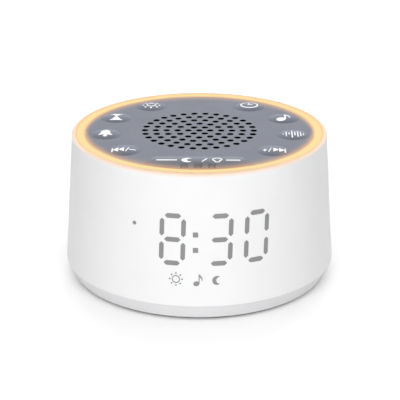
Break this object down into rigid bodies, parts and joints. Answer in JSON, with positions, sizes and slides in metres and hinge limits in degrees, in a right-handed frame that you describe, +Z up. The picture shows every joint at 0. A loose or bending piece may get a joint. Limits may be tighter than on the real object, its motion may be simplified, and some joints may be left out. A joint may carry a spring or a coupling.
{
  "type": "white noise sound machine",
  "caption": "Round white bedside sound machine with a glowing ring round its grey top, a speaker grille, round keys, a snooze bar and a clock display that shines through the wall.",
  "frame": {"origin": "middle of the footprint on the table, under the body's axis", "axes": "+Z up, the clock display faces -Y, +X to the right as seen from the front"},
  "size_m": [0.106, 0.106, 0.0577],
  "materials": {
    "white_shell": "fine satin",
    "white_base": "fine satin",
    "grey_panel": "fine satin",
    "grey_keys": "satin",
    "ring_diffuser": "milky, lit from below",
    "white_mask": "matte",
    "rubber": "matte",
    "foam": "open foam",
    "steel": "zinc plated",
    "nickel": "plated spring steel",
    "magnet": "ground ferrite",
    "paper_cone": "pressed paper",
    "cell_jacket": "gloss",
    "green_board": "solder mask",
    "white_board": "white solder mask",
    "ring_led": "clear lens",
    "display_led": "clear lens",
    "black_plastic": "moulded",
    "switch_button": "moulded",
    "capacitor": "sleeved",
    "white_plug": "moulded",
    "ribbon": "flexible"
  },
  "bodies": {
    "body": {"outer_shell": "white_shell", "base_cover": "white_base", "rubber_feet": "rubber", "case_screws": "steel", "battery_cells": "cell_jacket", "battery_contacts": "nickel", "light_ring": "ring_diffuser", "ring_board": "white_board", "ring_leds": "ring_led", "top_panel": "grey_panel", "panel_screws": "steel", "key_switches": "black_plastic", "key_board": "green_board", "board_screws": "steel", "speaker_gasket": "foam", "speaker_frame": "steel", "speaker_magnet": "magnet", "speaker_surround": "rubber", "speaker_screws": "steel", "display_mask": "white_mask", "display_board": "green_board", "display_leds": "display_led", "display_screws": "steel", "main_board": "green_board", "main_board_screws": "steel", "board_chips": "black_plastic", "board_capacitors": "capacitor", "power_jack": "black_plastic", "plugs": "white_plug", "key_ribbon": "ribbon", "speaker_lead": "ribbon"},
    "next_key": {"key_next": "grey_keys", "switch_button_next": "switch_button"},
    "sound_key": {"key_sound": "grey_keys", "switch_button_sound": "switch_button"},
    "music_key": {"key_music": "grey_keys", "switch_button_music": "switch_button"},
    "clock_key": {"key_clock": "grey_keys", "switch_button_clock": "switch_button"},
    "previous_key": {"key_previous": "grey_keys", "switch_button_previous": "switch_button"},
    "alarm_key": {"key_alarm": "grey_keys", "switch_button_alarm": "switch_button"},
    "timer_key": {"key_timer": "grey_keys", "switch_button_timer": "switch_button"},
    "light_key": {"key_light": "grey_keys", "switch_button_light": "switch_button"},
    "snooze": {"snooze_bar": "grey_keys", "snooze_buttons": "switch_button"},
    "door": {"battery_door": "white_base"},
    "cone": {"speaker_cone": "paper_cone"}
  },
  "joints": [
    {"name": "press_next", "type": "slide", "parent": "body", "child": "next_key", "axis": [0, 0, -1], "range_m": [0, 0.0005], "stiffness_N_per_m": 800, "springref_m": -0.001},
    {"name": "press_sound", "type": "slide", "parent": "body", "child": "sound_key", "axis": [0, 0, -1], "range_m": [0, 0.0005], "stiffness_N_per_m": 800, "springref_m": -0.001},
    {"name": "press_music", "type": "slide", "parent": "body", "child": "music_key", "axis": [0, 0, -1], "range_m": [0, 0.0005], "stiffness_N_per_m": 800, "springref_m": -0.001},
    {"name": "press_clock", "type": "slide", "parent": "body", "child": "clock_key", "axis": [0, 0, -1], "range_m": [0, 0.0005], "stiffness_N_per_m": 800, "springref_m": -0.001},
    {"name": "press_previous", "type": "slide", "parent": "body", "child": "previous_key", "axis": [0, 0, -1], "range_m": [0, 0.0005], "stiffness_N_per_m": 800, "springref_m": -0.001},
    {"name": "press_alarm", "type": "slide", "parent": "body", "child": "alarm_key", "axis": [0, 0, -1], "range_m": [0, 0.0005], "stiffness_N_per_m": 800, "springref_m": -0.001},
    {"name": "press_timer", "type": "slide", "parent": "body", "child": "timer_key", "axis": [0, 0, -1], "range_m": [0, 0.0005], "stiffness_N_per_m": 800, "springref_m": -0.001},
    {"name": "press_light", "type": "slide", "parent": "body", "child": "light_key", "axis": [0, 0, -1], "range_m": [0, 0.0005], "stiffness_N_per_m": 800, "springref_m": -0.001},
    {"name": "press_snooze", "type": "slide", "parent": "body", "child": "snooze", "axis": [0, 0, -1], "range_m": [0, 0.0005], "stiffness_N_per_m": 1200, "springref_m": -0.001},
    {"name": "door_hinge", "type": "hinge", "parent": "body", "child": "door", "pos_m": [0, 0.01525, 0.0021], "axis": [1, 0, 0], "range_deg": [0, 85]},
    {"name": "cone_throw", "type": "slide", "parent": "body", "child": "cone", "axis": [0, 0, 1], "range_m": [-0.0006, 0.0006], "stiffness_N_per_m": 900}
  ]
}
